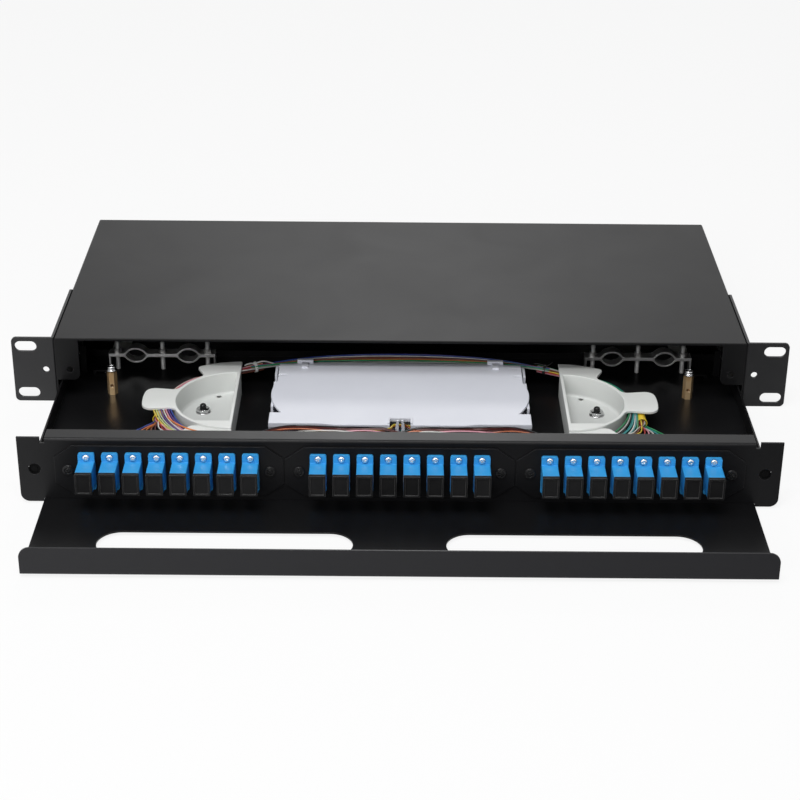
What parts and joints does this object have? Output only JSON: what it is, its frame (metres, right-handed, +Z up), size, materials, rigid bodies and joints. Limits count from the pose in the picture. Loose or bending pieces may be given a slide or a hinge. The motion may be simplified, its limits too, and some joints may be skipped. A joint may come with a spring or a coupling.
{
  "type": "sliding fibre patch drawer",
  "caption": "Rack-mount fibre patch drawer: black sheet-steel housing with a sliding tray of blue adapters, slack spools, a splice tray and a slotted cable shelf in front.",
  "frame": {"origin": "centre of the front face of the rack ears, midway between their slots", "axes": "+X to the right seen from the front, +Y into the rack, +Z up; the drawer is pulled out towards -Y"},
  "size_m": [0.4826, 0.41, 0.0436],
  "materials": {
    "black_steel": "satin black powder coat on folded steel sheet",
    "black_screw": "blackened steel screws",
    "zinc_steel": "zinc-plated steel",
    "bright_screw": "bright nickel-plated screws",
    "brass": "turned brass",
    "blue_plastic": "moulded sky-blue plastic",
    "black_plastic": "moulded black plastic",
    "white_plastic": "moulded off-white plastic",
    "tray_plastic": "moulded cool-white plastic",
    "rubber": "black rubber",
    "glide_plastic": "slippery plastic strip",
    "clear_plastic": "shrunk sleeve round a splice",
    "fibre_jacket": "coloured buffered fibres",
    "yellow_sleeve": "yellow sleeve"
  },
  "bodies": {
    "housing": {"top_cover": "black_steel", "base_plate": "black_steel", "rear_panel": "black_steel", "cable_grommets": "rubber", "rack_ear_left": "black_steel", "rack_ear_right": "black_steel", "ear_screws": "black_screw", "case_screws": "black_screw", "guide_rail_left": "zinc_steel", "guide_rail_right": "zinc_steel", "rail_rivets": "zinc_steel", "glide_strips": "glide_plastic"},
    "drawer": {"drawer_tray": "black_steel", "front_panel": "black_steel", "adapter_plate_left": "black_steel", "adapter_plate_centre": "black_steel", "adapter_plate_right": "black_steel", "panel_rivets": "zinc_steel", "clamp_upper_left": "zinc_steel", "clamp_upper_right": "zinc_steel", "clamp_lower_left": "zinc_steel", "clamp_lower_right": "zinc_steel", "clamp_studs": "zinc_steel", "clamp_nuts": "zinc_steel", "splice_tray_screws": "zinc_steel", "adapter_screws_left": "bright_screw", "adapter_screws_centre": "bright_screw", "adapter_screws_right": "bright_screw", "anchor_screws": "bright_screw", "spool_nuts": "bright_screw", "anchor_posts": "brass", "adapters_left": "blue_plastic", "adapters_centre": "blue_plastic", "adapters_right": "blue_plastic", "pigtail_plugs_left": "blue_plastic", "pigtail_plugs_centre": "blue_plastic", "pigtail_plugs_right": "blue_plastic", "dust_caps_left": "black_plastic", "dust_caps_centre": "black_plastic", "dust_caps_right": "black_plastic", "plate_push_rivets": "black_plastic", "spool_studs": "black_plastic", "cable_tie_right": "black_plastic", "spool_left": "white_plastic", "spool_right": "white_plastic", "cable_tie_left": "white_plastic", "splice_comb": "white_plastic", "splice_tray_base": "tray_plastic", "splice_sleeves": "clear_plastic", "pigtails_left": "fibre_jacket", "pigtails_right": "fibre_jacket", "fibre_bundle_left": "fibre_jacket", "fibre_bundle_right": "fibre_jacket", "fibre_bundle_rear": "fibre_jacket", "fan_out_sleeves": "yellow_sleeve"},
    "splice_cover": {"splice_tray_cover": "tray_plastic"}
  },
  "joints": [
    {"name": "drawer_slide", "type": "slide", "parent": "housing", "child": "drawer", "axis": [0, 1, 0], "range_m": [-0.035, 0.1264]},
    {"name": "cover_hinge", "type": "hinge", "parent": "drawer", "child": "splice_cover", "pos_m": [0, 0.0195, -0.006], "axis": [-1, 0, 0], "range_deg": [0, 13]}
  ]
}
